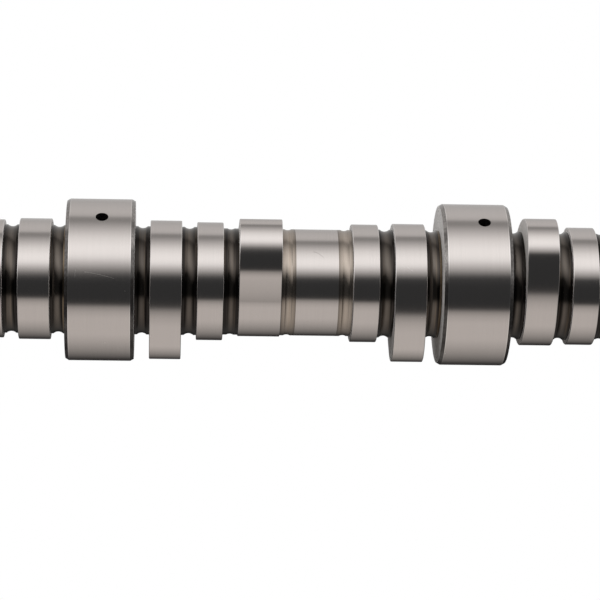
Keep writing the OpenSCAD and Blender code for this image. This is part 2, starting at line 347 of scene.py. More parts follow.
class Skin:
    """Grids of points with exact normals and a tint, gathered for one mesh."""

    def __init__(self):
        self.points, self.normals, self.tints, self.quads = [], [], [], []
        self.count = 0

    def add(self, points, normals, tint=0.0):
        """Adds one grid. Points are rows by columns by 3; normals and tint follow them. If the
        grid faces away from its normals, its quads are turned round."""
        points = np.asarray(points, float)
        normals = np.broadcast_to(np.asarray(normals, float), points.shape).reshape(-1, 3)
        rows, columns = points.shape[:2]
        points = points.reshape(-1, 3)
        quads = grid_quads(rows, columns)
        a, b, c, d = points[quads].swapaxes(0, 1)
        if (np.cross(c - a, d - b) * normals[quads].mean(1)).sum() < 0:
            quads = quads[:, ::-1]
        self.points.append(points)
        self.normals.append(normals)
        self.tints.append(np.broadcast_to(np.asarray(tint, float), (rows, columns)).reshape(-1))
        self.quads.append(quads + self.count)
        self.count += rows * columns

    def revolve(self, x, r, normal, tint=0.0):
        """Turns a profile of points (x, r) with normals (along, outward) round the X axis: each
        point goes to x along the axis plus r times every direction across it."""
        x, r = np.asarray(x, float), np.asarray(r, float)
        normal = np.broadcast_to(np.asarray(normal, float), (len(x), 2))
        out = across(np.linspace(0, FULL_TURN, COLUMNS + 1))[None]
        points = x[:, None, None] * X_AXIS + r[:, None, None] * out
        normals = normal[:, :1, None] * X_AXIS + normal[:, 1:, None] * out
        tint = np.broadcast_to(np.asarray(tint, float), (len(x),))
        self.add(points, normals, np.repeat(tint[:, None], COLUMNS + 1, 1))

    def turned(self, corners):
        """Turns straight lines between corners (x, r), each line with its own flat normal.

        The outline is followed with the material on its right, seen with X to the right and
        r upwards."""
        for (x0, r0), (x1, r1) in zip(corners[:-1], corners[1:]):
            size = hypot(x1 - x0, r1 - r0)
            self.revolve([x0, x1], [r0, r1], [(r0 - r1) / size, (x1 - x0) / size])

    def build(self, name, finish):
        """Makes the mesh object, gives it its exact normals and its finish, which is a
        material's name, and fixes it to the shaft."""
        points = np.concatenate(self.points)
        quads = np.concatenate(self.quads)
        mesh = bpy.data.meshes.new(name)
        mesh.vertices.add(len(points))
        mesh.vertices.foreach_set("co", points.astype(np.float32).ravel())
        mesh.loops.add(quads.size)
        mesh.loops.foreach_set("vertex_index", quads.astype(np.int32).ravel())
        mesh.polygons.add(len(quads))
        mesh.polygons.foreach_set("loop_start", np.arange(0, quads.size, 4, dtype=np.int32))
        mesh.update(calc_edges=True)
        mesh.polygons.foreach_set("use_smooth", np.ones(len(quads), bool))
        # The tint, which the finishes turn into colour, carries painted highlights, painted shade
        # and the necks' tone
        mesh.attributes.new("tint", "FLOAT", "POINT").data.foreach_set(
            "value", np.concatenate(self.tints).astype(np.float32)
        )
        mesh.normals_split_custom_set_from_vertices(np.concatenate(self.normals).tolist())
        mesh.materials.append(bpy.data.materials[finish])
        piece = bpy.data.objects.new(name, mesh)
        bpy.context.scene.collection.objects.link(piece)
        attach(piece, BODY)
        return piece


def outline(arcs):
    """Points and outward normals along arcs (centre, radius, from, to), with a negative radius
    for an arc that bulges inwards. Each arc starts where the one before it ends, and the last
    ends where the first starts. A point is the centre plus the radius in direction (cos a,
    sin a)."""
    points, normals = [], []
    for centre, r, start, end in arcs:
        turn = abs(end - start)
        steps = max(int(turn / STEP_TURN), int(turn * abs(r) / STEP_LENGTH), 3)
        a = np.linspace(start, end, steps + 1)[1 if points else 0:]
        direction = np.stack([np.cos(a), np.sin(a)], -1)
        points.append(np.asarray(centre) + abs(r) * direction)
        normals.append(np.sign(r) * direction)
    return np.concatenate(points), np.concatenate(normals)


def outer_outline(s):
    """Outer lobe with its tip at angle 0: base circle, flank arcs and tip arc, all tangent. The
    cosine rule on the three centres gives the flanks' radius."""
    base, tip, opening = s.outer_base_r, s.tip_arc_r, s.half_opening
    centre = s.outer_tip_r - tip
    flank = (base**2 - tip**2 + centre**2 - 2 * base * centre * cos(opening)) / (
        2 * (base - tip - centre * cos(opening))
    )
    turn = acos(((flank - base) * cos(opening) + centre) / (flank - tip))
    return outline([
        ((centre, 0), tip, -turn, turn),
        (-polar(flank - base, opening), flank, turn, opening),
        ((0, 0), base, opening, FULL_TURN - opening),
        (-polar(flank - base, -opening), flank, -opening, -turn),
    ])


def middle_outline(s):
    """Middle lobe with its tip at angle 0 and its opening side at positive angles: a tip arc, a
    shoulder and a closing arc inside it, two hollow flanks and the base circle, all tangent."""
    tip_centre = np.array([s.middle_tip_r - s.middle_arc_r, 0.0])
    shoulder = tip_centre + polar(s.middle_arc_r - s.shoulder_r, s.middle_turn)
    closing = tip_centre + polar(s.middle_arc_r - s.closing_r, -s.closing_turn)

    def hollow(centre, r, side):
        """Centre of the hollow flank that touches the base circle and the arc of radius r."""
        far, reach = np.hypot(*centre), s.middle_base_r + s.hollow_r
        swing = acos((far**2 + reach**2 - (r + s.hollow_r) ** 2) / (2 * far * reach))
        return polar(reach, angle_of(centre) + side * swing)

    opening_hollow = hollow(shoulder, s.shoulder_r, 1)
    closing_hollow = hollow(closing, s.closing_r, -1)
    opening_end, opening_foot = angle_of(opening_hollow - shoulder), angle_of(opening_hollow)
    closing_end, closing_foot = angle_of(closing_hollow - closing), angle_of(closing_hollow)
    return outline([
        (tip_centre, s.middle_arc_r, -s.closing_turn, s.middle_turn),
        (shoulder, s.shoulder_r, s.middle_turn, opening_end),
        (opening_hollow, -s.hollow_r, opening_end + pi, opening_foot + pi),
        ((0, 0), s.middle_base_r, opening_foot, closing_foot + FULL_TURN),
        (closing_hollow, -s.hollow_r, closing_foot + pi, closing_end + pi),
        (closing, s.closing_r, closing_end, -s.closing_turn),
    ])


def round_outline(r):
    """Round collar, as an outline."""
    return outline([((0, 0), r, 0, FULL_TURN)])


def starts(s, q):
    """Distances from a journal's middle to the outer lobe, the collar and the middle lobe."""
    outer = s.journal_w / 2 + s.neck_w
    collar = outer + q.outer_w + s.neck_w
    middle = collar + q.collar_w + s.neck_w
    return outer, collar, middle


def every_lobe(s, q):
    """Every lobe and collar: its outline turned to its tip, where it starts, its width and the
    radius of the necks beside it.

    A point of the outline at (u, v) goes to u times the tip's direction plus v times the
    direction a quarter turn below it, and its normal does too."""
    outer_start, collar_start, middle_start = starts(s, q)
    outer, middle, ring = outer_outline(q), middle_outline(q), round_outline(q.collar_r)
    for bay in range(s.bays):
        x = bay * s.pitch
        far = x + s.pitch
        for (points, normals), start, width, tip, root_r in (
            (outer, x + outer_start, q.outer_w, q.front_tips[bay], s.neck_r),
            (ring, x + collar_start, q.collar_w, 0.0, s.barrel_r),
            (middle, x + middle_start, q.middle_w, q.middle_tips[bay], s.barrel_r),
            (ring, far - collar_start - q.collar_w, q.collar_w, 0.0, s.barrel_r),
            (outer, far - outer_start - q.outer_w, q.outer_w, q.rear_tips[bay], s.neck_r),
        ):
            plane = np.stack([across(tip), across(tip - pi / 2)])
            yield points @ plane, normals @ plane, start, width, root_r


def lobe_side(lobes, out, flare, start, width, bevel):
    """Adds a lobe's ground side between its edges, and its two rounded edges, which get a painted
    highlight.
    """
    end = start + width
    lobes.add([out + X_AXIS * (start + bevel), out + X_AXIS * (end - bevel)], [flare, flare])
    for face, sign in ((start, -1), (end, 1)):
        rows = [
            out - inward * bevel * flare + X_AXIS * (face - sign * before * bevel)
            for inward, before, _, _ in EDGE_ROWS
        ]
        edge = np.array([lift * flare + lean * sign * X_AXIS for _, _, lift, lean in EDGE_ROWS])
        edge /= np.linalg.norm(edge, axis=-1, keepdims=True)
        # The rounded edge gets a painted highlight
        lobes.add(rows, edge, EDGE_HIGHLIGHT)


def lobe_faces(faces, out, flare, start, width, bevel, root_r):
    """Adds a lobe's two end faces, from the rounded edge straight in to the neck."""
    outward = out / np.linalg.norm(out, axis=1, keepdims=True)
    for face, sign in ((start, -1), (start + width, 1)):
        leaning = cos(LEAN) * sign * X_AXIS + sin(LEAN) * outward
        rows = [out - bevel * flare + X_AXIS * face, root_r * outward + X_AXIS * face]
        faces.add(rows, [leaning, leaning])


def journal_faces(faces, s, x, roots):
    """Adds a journal's front and rear face, from the bevel in to the radii in roots."""
    for sign, root_r in zip((-1, 1), roots):
        face = x + sign * s.journal_w / 2
        lean = [sign * cos(LEAN), sin(LEAN)]
        faces.revolve([face, face], [s.journal_r - s.bevel_d, root_r], lean)


def journal_side(journals, s, x, hole_x):
    """Adds a journal's ground side, with both mouths of its oil hole left open, and its bevels,
    which are painted dark as painted shade, each with a polished line inside it that gets a painted
    highlight.

    Each half turn has one full strip, and a square round the mouth with a shorter strip on
    either side. The square's rows go in even steps from the mouth's rim to the square's edge."""
    r, half, hole = s.journal_r, s.journal_w / 2, s.hole_r
    inset = s.bevel_w + s.edge_line
    x0, x1 = x - half + inset, x + half - inset
    margin = MOUTH_SQUARE * hole
    reach = asin(margin / r)
    t = np.linspace(0, FULL_TURN, MOUTH_STEPS + 1)
    square = np.stack([np.cos(t), np.sin(t)], -1)
    square /= np.abs(square).max(1, keepdims=True)
    rim_x, rim_psi = hole * np.cos(t), np.arcsin(hole * np.sin(t) / r)
    share = np.linspace(0, 1, MOUTH_ROWS + 1)[:, None]

    def strip(psi, start, end):
        out = across(psi)
        journals.add([out * r + (start, 0, 0), out * r + (end, 0, 0)], [out, out])

    for mouth in (s.hole_angle, s.hole_angle + pi):
        strip(np.linspace(mouth + reach, mouth + pi - reach, COLUMNS // 2 + 1), x0, x1)
        beside = np.linspace(mouth - reach, mouth + reach, MOUTH_STEPS // 4 + 1)
        strip(beside, x0, hole_x - margin)
        strip(beside, hole_x + margin, x1)
        out = across(mouth + rim_psi + share * (reach * square[:, 1] - rim_psi))
        points = out * r
        points[..., 0] = hole_x + rim_x + share * (margin * square[:, 0] - rim_x)
        journals.add(points, out)
    size = hypot(s.bevel_w, s.bevel_d)
    for face, sign in ((x - half, -1), (x + half, 1)):
        edge = face - sign * s.bevel_w
        slope = [sign * s.bevel_d / size, s.bevel_w / size]
        # A polished line with a painted highlight, then the bevel in painted shade
        journals.revolve([edge, edge - sign * s.edge_line], [r, r], [0, 1], EDGE_HIGHLIGHT)
        journals.revolve([edge, face], [r, r - s.bevel_d], slope, BEVEL_SHADE)


def drilling(bores, s, x):
    """Adds the wall of the oil hole through one journal. Its rows go in even steps from mouth to
    mouth, where the bore's circle meets the journal's."""
    t = np.linspace(0, FULL_TURN, BORE_STEPS + 1)
    along = across(s.hole_angle)
    side = across(s.hole_angle + pi / 2)
    offset = s.hole_r * np.sin(t)
    depth = np.sqrt(s.journal_r**2 - offset**2)
    rim = (s.hole_r * np.cos(t))[:, None] * X_AXIS + offset[:, None] * side
    shares = np.linspace(-1, 1, BORE_ROWS + 1)
    rows = [rim + (share * depth)[:, None] * along + (x, 0, 0) for share in shares]
    bores.add(rows, -rim / s.hole_r)


def groove(necks, s, middle, half_w, land_r, tint, has_golden_highlights):
    """Adds a neck: a scalloped arc in its middle and the plain lands beside it. The arc's point at
    angle a is its radius times sin a along the shaft and times cos a below its centre. The arc's
    middle gets a painted glint, and each land gets painted shade towards the face beside it. If
    asked, two golden lines, which are painted highlights, run a third and two thirds of the way
    over the rear land."""
    arc_r = (s.groove_w**2 / 4 + s.groove_depth**2) / (2 * s.groove_depth)
    centre_r = s.neck_r - s.groove_depth + arc_r
    reach = asin(sqrt(arc_r**2 - (centre_r - land_r) ** 2) / arc_r)
    a = np.linspace(-reach, reach, GROOVE_ROWS + 1)
    normal = np.stack([-np.sin(GROOVE_SLOPE * a), np.cos(GROOVE_SLOPE * a)], -1)
    # Painted glint in the middle of the groove
    painted_glint = np.maximum(tint + PAINTED_GLINT * np.cos(pi / 2 * a / reach) ** 2, 0)
    necks.revolve(middle + arc_r * np.sin(a), centre_r - arc_r * np.cos(a), normal, painted_glint)
    edge = arc_r * sin(reach)
    for sign, lined in ((-1, False), (1, has_golden_highlights)):
        rows = 2 * LAND_ROWS if lined else LAND_ROWS
        share = np.linspace(0, 1, rows + 1)
        # Painted shade on a land, darker towards the face beside it
        shade = np.maximum(tint - LAND_SHADE * share**SHADE_POWER, 0)
        if lined:
            # Golden lines: painted highlights
            shade[[rows // 3, 2 * rows // 3]] = GOLDEN_HIGHLIGHT_TINT
        place = middle + sign * (edge + (half_w - edge) * share)
        necks.revolve(place, [land_r] * len(share), [0, 1], shade)


# Materials

def plug(tree, socket, value):
    """Links a wire to a socket, or sets the socket to a plain value."""
    if isinstance(value, Wire):
        tree.links.new(value.socket, socket)
    else:
        socket.default_value = value


def joins(operation, flipped=False):
    """One of Wire's operators, which adds a Math node."""
    return lambda wire, other: wire.math(operation, other, flipped=flipped)


class Wire:
    """A socket that can be used in sums and products, so that a pattern reads as a formula."""

    def __init__(self, tree, socket):
        self.tree, self.socket = tree, socket

    def math(self, operation, *others, flipped=False):
        """Joins this value and others with a Math node."""
        node = self.tree.nodes.new("ShaderNodeMath")
        node.operation = operation
        values = [self, *others]
        if flipped:
            values[:2] = values[1::-1]
        for socket, value in zip(node.inputs, values):
            plug(self.tree, socket, value)
        return Wire(self.tree, node.outputs[0])

    __add__ = __radd__ = joins("ADD")
    __mul__ = __rmul__ = joins("MULTIPLY")
    __sub__, __rsub__ = joins("SUBTRACT"), joins("SUBTRACT", flipped=True)
    __truediv__, __rtruediv__ = joins("DIVIDE"), joins("DIVIDE", flipped=True)

    def clamped(self):
        """Keeps the value between 0 and 1."""
        return self.math("MAXIMUM", 0.0).math("MINIMUM", 1.0)

    def stretched(self, start, gain):
        """Rises from 0 at the start value, as steeply as the gain says, and stops at 1."""
        return ((self - start) * gain).clamped()


class Look:
    """A Principled material under construction."""

    def __init__(self, name):
        self.material = bpy.data.materials.new(name)
        self.material.use_nodes = True
        self.tree = self.material.node_tree
        self.shader = self.tree.nodes["Principled BSDF"]

    def node(self, kind, sockets, output=0, **fields):
        """Adds a node, sets its fields, fills its sockets and returns one of its outputs."""
        node = self.tree.nodes.new(kind)
        for field, value in fields.items():
            setattr(node, field, value)
        for name, value in sockets.items():
            plug(self.tree, node.inputs[name], value)
        return Wire(self.tree, node.outputs[output])

    def place(self):
        """Position on the object, in metres."""
        return self.node("ShaderNodeTexCoord", {}, "Object")

    def axes(self):
        """The three parts of the position."""
        first = self.node("ShaderNodeSeparateXYZ", {"Vector": self.place()})
        return [Wire(self.tree, output) for output in first.socket.node.outputs]

    def scaled(self, factors):
        """Position on the object, stretched by its own factor along each axis."""
        return self.node("ShaderNodeMapping", {"Vector": self.place(), "Scale": factors})

    def noise(self, vector, detail, roughness=0.5):
        """Noise from 0 to 1."""
        return self.node("ShaderNodeTexNoise", {
            "Vector": vector, "Scale": 1.0, "Detail": detail, "Roughness": roughness,
        })

    def attribute(self, name):
        """A value stored in the mesh."""
        return self.node("ShaderNodeAttribute", {}, "Fac", attribute_name=name)

    def blend(self, factor, a, b):
        """Colour from a to b. The numbers are the Mix node's sockets for colours."""
        return self.node("ShaderNodeMix", {0: factor, 6: a, 7: b}, 2, data_type="RGBA")

    def bump(self, height, distance):
        """Normal of a surface raised by height times distance."""
        return self.node("ShaderNodeBump", {
            "Height": height, "Distance": distance, "Strength": 1.0,
        })

    def set(self, **inputs):
        """Sets or links inputs of the shader, named with underscores for spaces."""
        for name, value in inputs.items():
            plug(self.tree, self.shader.inputs[name.replace("_", " ")], value)
        return self.material


def ground_material(c):
    """Ground steel: warm grey, nearly even, with fine marks that run round the shaft, a painted
    highlight on edges where the tint is above 0, and uneven painted shade on bevels where it is
    below."""
    look = Look(GROUND)
    marks = look.noise(look.scaled(GRINDING), 3.0, 0.7)
    cloud = look.noise(look.scaled(CLOUDS), 4.0)
    tint = look.attribute("tint")
    steel = look.blend(marks, c.ground_low, c.ground_high)
    # Painted highlight on the edges
    steel = look.blend(tint.clamped() * HIGHLIGHT_SHARE, steel, c.edge)
    # Painted shade on the bevels, mixed by an uneven grain
    grain = look.noise(look.scaled(BEVEL_GRAIN), 3.0).stretched(0.4, 5.0)
    bevel = look.blend(grain, c.shaded_bevel_low, c.shaded_bevel_high)
    steel = look.blend((0.0 - tint).clamped() * SHADE_SHARE, steel, bevel)
    scratches, specks = worn_marks(look)
    worn = (scratches + specks).clamped()
    steel = look.blend(worn, steel, c.scratch_light)
    steel = look.blend((0.0 - scratches).clamped(), steel, c.scratch_dark)
    return look.set(
        Base_Color=steel, Metallic=1.0,
        Roughness=0.10 + 0.03 * marks + 0.03 * cloud + 0.45 * worn,
        Normal=look.bump(marks, GRINDING_DEPTH),
    )


def worn_marks(look):
    """Two masks: fine scratches, which are below 0 where they are dark, and light specks.

    A scratch follows a line with a parabola's bow and fades towards its half width. A speck is
    a dot in the middle of a cell."""
    x, y, z = look.axes()
    mask = 0.0
    for x0, x1, z0, z1, bow, half_w, strength in SCRATCHES:
        along = (x - x0) / (x1 - x0)
        line = z0 + (z1 - z0) * along + bow * along * (1.0 - along)
        near = 1.0 - ((z - line) / half_w).math("ABSOLUTE")
        inside = (along * (1.0 - along)).math("GREATER_THAN", 0.0)
        mask = near.clamped() * inside * strength * y.math("LESS_THAN", 0.0) + mask
    distance = look.node("ShaderNodeTexVoronoi", {
        "Vector": look.place(), "Scale": SPECKS, "Randomness": 1.0,
    }, "Distance")
    return mask, 0.5 * (1.0 - distance * SPECK_SHRINK).clamped()


def face_material(c):
    """Side faces: as-turned steel with a coarse grain and turning rings, which are noise that
    changes only with the distance from the axis."""
    look = Look(FACED)
    grain = look.noise(look.scaled(FACE_GRAIN), 4.0, 0.75)
    x, y, z = look.axes()
    radius = (y * y + z * z).math("POWER", 0.5)
    rings = look.noise(look.node("ShaderNodeCombineXYZ", {"X": radius * FACE_RINGS}), 2.0)
    grain = 0.55 * grain + 0.45 * rings
    return look.set(
        Base_Color=look.blend(grain.stretched(0.38, 4.5), c.face_low, c.face_high),
        Metallic=0.3, Roughness=0.45 + 0.12 * grain, Normal=look.bump(grain, FACE_DEPTH),
    )


def neck_material(c):
    """Turned necks: steel from dark to light by its tint, which holds each neck's tone, a painted
    glint in the middle of its groove and painted shade on its lands, with turning rings and a brown
    heat tint, and fine golden lines, which are painted highlights, where the tint is below 0."""
    look = Look(TURNED)
    rings = look.noise(look.scaled(TURNING), 3.0, 0.7)
    bands = look.noise(look.scaled(HEAT_BANDS), 1.0)
    blotches = look.noise(look.scaled(BLOTCHES), 3.0)
    tint = look.attribute("tint")
    light_share = tint.clamped()
    dark = look.blend(blotches, c.neck_dark_low, c.neck_dark_high)
    light = look.blend(blotches, c.neck_light_low, c.neck_light_high)
    steel = look.blend(light_share, dark, light)
    # Golden lines: painted highlights
    steel = look.blend((0.0 - tint).clamped(), steel, c.golden_highlight)
    steel = look.blend(bands.stretched(0.56, 5.0) * 0.3, steel, c.heat)
    return look.set(
        Base_Color=steel, Metallic=1.0, Roughness=0.12 + 0.06 * rings + 0.08 * light_share,
        Normal=look.bump(rings, TURNING_DEPTH),
    )


def bore_material(c):
    """Drilled and tapped holes: dull dark steel."""
    return Look(DRILLED).set(Base_Color=c.bore, Metallic=1.0, Roughness=0.45)


# Operators

class CAM_OT_finishes(bpy.types.Operator):
    """Build the finishes: ground steel, side faces, turned necks and drilled holes"""

    bl_idname = "camshaft.finishes"
    bl_label = "Finishes"

    def execute(self, context):
        for finish in (ground_material, face_material, neck_material, bore_material):
            finish(context.scene.camshaft_colours)
        return {"FINISHED"}


class CAM_OT_journals(bpy.types.Operator):
    """Build the bearing journals with their bevels"""

    bl_idname = "camshaft.journals"
    bl_label = "Journals"

    def execute(self, context):
        s = context.scene.camshaft_sizes
        journals = Skin()
        for i in range(s.bays + 1):
            x = i * s.pitch
            journal_side(journals, s, x, x + s.hole_shifts[i])
        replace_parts(journals.build("journals", GROUND), NODE)
        return {"FINISHED"}


class CAM_OT_lobes(bpy.types.Operator):
    """Build the ground sides of the lobes and of the collars"""

    bl_idname = "camshaft.lobes"
    bl_label = "Lobes and Collars"

    def execute(self, context):
        s, q = context.scene.camshaft_sizes, context.scene.camshaft_lobes
        lobes = Skin()
        for out, flare, start, width, _ in every_lobe(s, q):
            lobe_side(lobes, out, flare, start, width, q.bevel)
        lobes.build("lobes", GROUND)
        return {"FINISHED"}


class CAM_OT_side_faces(bpy.types.Operator):
    """Build the faces that look along the shaft, on lobes, collars and journals"""

    bl_idname = "camshaft.side_faces"
    bl_label = "Side Faces"

    def execute(self, context):
        s, q = context.scene.camshaft_sizes, context.scene.camshaft_lobes
        e = context.scene.camshaft_ends
        faces = Skin()
        for out, flare, start, width, root_r in every_lobe(s, q):
            lobe_faces(faces, out, flare, start, width, q.bevel, root_r)
        roots = [e.seal_r, *[s.neck_r] * 2 * s.bays, e.boss_r]
        for i in range(s.bays + 1):
            journal_faces(faces, s, i * s.pitch, roots[2 * i:2 * i + 2])
        faces.build("side_faces", FACED)
        return {"FINISHED"}


class CAM_OT_oil_holes(bpy.types.Operator):
    """Build the oil hole through each journal"""

    bl_idname = "camshaft.oil_holes"
    bl_label = "Oil Holes"

    def execute(self, context):
        s = context.scene.camshaft_sizes
        bores = Skin()
        for i in range(s.bays + 1):
            drilling(bores, s, i * s.pitch + s.hole_shifts[i])
        bores.build("oil_holes", DRILLED)
        return {"FINISHED"}


class CAM_OT_necks(bpy.types.Operator):
    """Build the necks with their grooves"""

    bl_idname = "camshaft.necks"
    bl_label = "Necks"

    # The seven necks of a bay from front to rear: the tint, from dark (0 and below) to light (1),
    # and whether golden lines, which are painted highlights, cross the rear land
    FINISHES = (
        (-0.02, False), (0.02, False), (0.04, False), (0.6, False),
        (0.6, False), (0.04, False), (0.04, True),
    )

    def execute(self, context):
        s, q = context.scene.camshaft_sizes, context.scene.camshaft_lobes
        necks = Skin()
        outer_start, collar_start, middle_start = starts(s, q)
        outer_end = outer_start + q.outer_w
        collar_end = collar_start + q.collar_w
        middle_end = middle_start + q.middle_w
        half, barrel_half = s.neck_w / 2, s.barrel_neck_w / 2
        for bay in range(s.bays):
            x = bay * s.pitch
            far = x + s.pitch
            places = (
                (x + outer_start - half, half, s.neck_r),
                (x + outer_end + half, half, s.neck_r),
                (x + collar_end + half, half, s.barrel_r),
                (x + middle_end + barrel_half, barrel_half, s.barrel_r),
                (far - collar_end - barrel_half, barrel_half, s.barrel_r),
                (far - outer_end - half, half, s.neck_r),
                (far - outer_start + half, half, s.neck_r),
            )
            for place, finish in zip(places, self.FINISHES):
                groove(necks, s, *place, *finish)
        necks.build("necks", TURNED)
        return {"FINISHED"}


class CAM_OT_barrels(bpy.types.Operator):
    """Build the short ground barrel between each middle lobe and the collar behind it"""

    bl_idname = "camshaft.barrels"
    bl_label = "Barrels"

    def execute(self, context):
        s, q = context.scene.camshaft_sizes, context.scene.camshaft_lobes
        barrels = Skin()
        _, collar_start, middle_start = starts(s, q)
        front = middle_start + q.middle_w
        rear = collar_start + q.collar_w
        for bay in range(s.bays):
            x = bay * s.pitch
            far = x + s.pitch
            ends = [x + front + s.barrel_neck_w, far - rear - s.barrel_neck_w]
            barrels.revolve(ends, [s.barrel_r, s.barrel_r], [0, 1])
        barrels.build("barrels", GROUND)
        return {"FINISHED"}


class CAM_OT_ends(bpy.types.Operator):
    """Build the nose with its keyway and tapped hole, and the rear boss with its centre"""

    bl_idname = "camshaft.ends"
    bl_label = "Nose and Rear End"

    # Angles of two points of the tapped hole's mouth, in radians: the one that faces the corner
    # of the keyway's floor, from the keyway's middle, and the one that faces the rim, from its
    # wall
    CORNER_TURN = 0.28
    RIM_LEAD = 0.03

    def execute(self, context):
        s, e = context.scene.camshaft_sizes, context.scene.camshaft_ends
        nose, bores, faces = Skin(), Skin(), Skin()
        front = -s.journal_w / 2
        step = front - e.seal_l
        tip = step - e.pulley_l
        nose.turned([(step, e.seal_r), (front, e.seal_r)])
        faces.revolve([step, step], [e.pulley_r, e.seal_r], [-1, 0])
        self.keyed_seat(nose, faces, e, tip, step)
        self.tapped_hole(bores, e, tip)
        back = s.bays * s.pitch + s.journal_w / 2
        end = back + e.boss_l
        rim = e.boss_r - e.boss_bevel
        nose.turned([(back, e.boss_r), (end - e.boss_bevel, e.boss_r), (end, rim)])
        faces.revolve([end, end], [rim, e.centre_r], [1, 0])
        cone = (e.centre_r - e.pilot_r) / tan(CENTRE_CONE)
        nose.revolve(
            [end, end - cone], [e.centre_r, e.pilot_r], [sin(CENTRE_CONE), -cos(CENTRE_CONE)]
        )
        bores.revolve([end - cone, end - e.pilot_l], [e.pilot_r, e.pilot_r], [0, -1])
        bores.revolve([end - e.pilot_l] * 2, [e.pilot_r, 0], [1, 0])
        nose.build("nose_and_boss", GROUND)
        faces.build("end_faces", FACED)
        bores.build("bores", DRILLED)
        return {"FINISHED"}

    def keyed_seat(self, nose, faces, e, tip, step):
        """The pulley seat: every row of the seat starts at one edge of the keyway and ends at
        the other, and the keyway's half width falls to nothing round its inner end."""
        half, floor = e.key_w / 2, e.pulley_r - e.key_d
        centre = tip + e.key_l - half
        round_end = centre + half * np.sin(np.linspace(0, pi / 2, KEY_STEPS + 1))
        xs = np.concatenate([[tip, tip + e.bevel, centre], round_end[1:], [step]])
        rs = np.where(xs < tip + e.bevel / 2, e.pulley_r - e.bevel, e.pulley_r)
        widths = np.sqrt(np.clip(half**2 - np.clip(xs - centre, 0, half) ** 2, 0, None))
        gap = np.arcsin(widths / rs)[:, None]
        share = np.linspace(0, 1, COLUMNS + 1)
        out = across(e.key_angle + gap + share * (FULL_TURN - 2 * gap))
        points = rs[:, None, None] * out
        points[..., 0] = xs[:, None]
        # The seat's front bevel gets a painted highlight
        nose.add(points[:2], (out[:2] + (-1, 0, 0)) / sqrt(2), EDGE_HIGHLIGHT)
        nose.add(points[1:], out[1:])

        # The keyway's walls and floor, which end with the row where its round end closes
        up, side = across(e.key_angle), across(e.key_angle + pi / 2)
        x, r, width = xs[:-1, None], rs[:-1, None], widths[:-1, None]
        top = np.sqrt(r**2 - width**2)
        lean = np.clip((x - centre) / half, 0, 1)
        for sign in (-1, 1):
            edge = x * X_AXIS + sign * width * side
            normal = -sign * np.sqrt(1 - lean**2) * side - lean * X_AXIS
            nose.add([edge + floor * up, edge + top * up], [normal, normal])
        left = x * X_AXIS - width * side + floor * up
        right = x * X_AXIS + width * side + floor * up
        nose.add([left, right], up)
        self.nose_face(faces, e, tip, half, floor, up, side)

    def nose_face(self, faces, e, tip, half, floor, up, side):
        """The flat ring between the tapped hole's mouth and the bevel, cut by the keyway. On
        both sides of the keyway its outer edge goes from the middle of the floor to the floor's
        corner, up the wall and round the rim, and its inner edge round the mouth."""
        mouth, rim = e.bolt_r + e.bevel, e.pulley_r - e.bevel
        floor_turn, rim_turn = atan2(half, floor), asin(half / rim)
        share = np.linspace(0, 1, COLUMNS // 2 + 1)[1:]
        outer = np.concatenate([[0.0, floor_turn, rim_turn], rim_turn + (pi - rim_turn) * share])
        outer_r = np.concatenate([[floor, hypot(half, floor), rim], np.full(len(share), rim)])
        floor_turn, rim_turn = self.CORNER_TURN, asin(half / mouth) + self.RIM_LEAD
        inner = np.concatenate([[0.0, floor_turn, rim_turn], rim_turn + (pi - rim_turn) * share])
        for sign in (-1, 1):
            rows = [
                r * (np.cos(turn)[:, None] * up + sign * np.sin(turn)[:, None] * side)
                for r, turn in ((mouth, inner), (outer_r[:, None], outer))
            ]
            faces.add(np.array(rows) + (tip, 0, 0), (-1, 0, 0))

    def tapped_hole(self, bores, e, tip):
        """The tapped hole: its wall swells by a rounded wave that winds round the axis. The
        radius is the crests' plus the thread's depth times half of 1 minus the cosine of the
        wave's angle, and it fades in over the first turn."""
        bores.revolve(
            [tip, tip + e.bevel], [e.bolt_r + e.bevel, e.bolt_r], [-sqrt(0.5), -sqrt(0.5)]
        )
        bottom = tip + e.bolt_l
        psi = np.linspace(0, FULL_TURN, THREAD_STEPS + 1)
        xs = np.linspace(tip + e.bevel, bottom, THREAD_ROWS + 1)[:, None]
        phase = (xs - tip) / e.thread_pitch - psi / FULL_TURN
        wave = 0.5 - 0.5 * np.cos(FULL_TURN * phase)
        fade = np.clip((xs - tip - e.bevel) / e.thread_pitch, 0, 1)
        r = e.bolt_r + e.thread_depth * wave * fade
        slope = e.thread_depth * fade * pi / e.thread_pitch * np.sin(FULL_TURN * phase)
        out = across(psi)
        normals = -(out - slope[..., None] * X_AXIS)
        normals /= np.linalg.norm(normals, axis=-1, keepdims=True)
        points = r[..., None] * out
        points[..., 0] = xs
        bores.add(points, normals)
        drill = e.bolt_r / tan(DRILL_POINT)
        bores.revolve(
            [bottom, bottom + drill], [e.bolt_r, 0], [-sin(DRILL_POINT), -cos(DRILL_POINT)]
        )


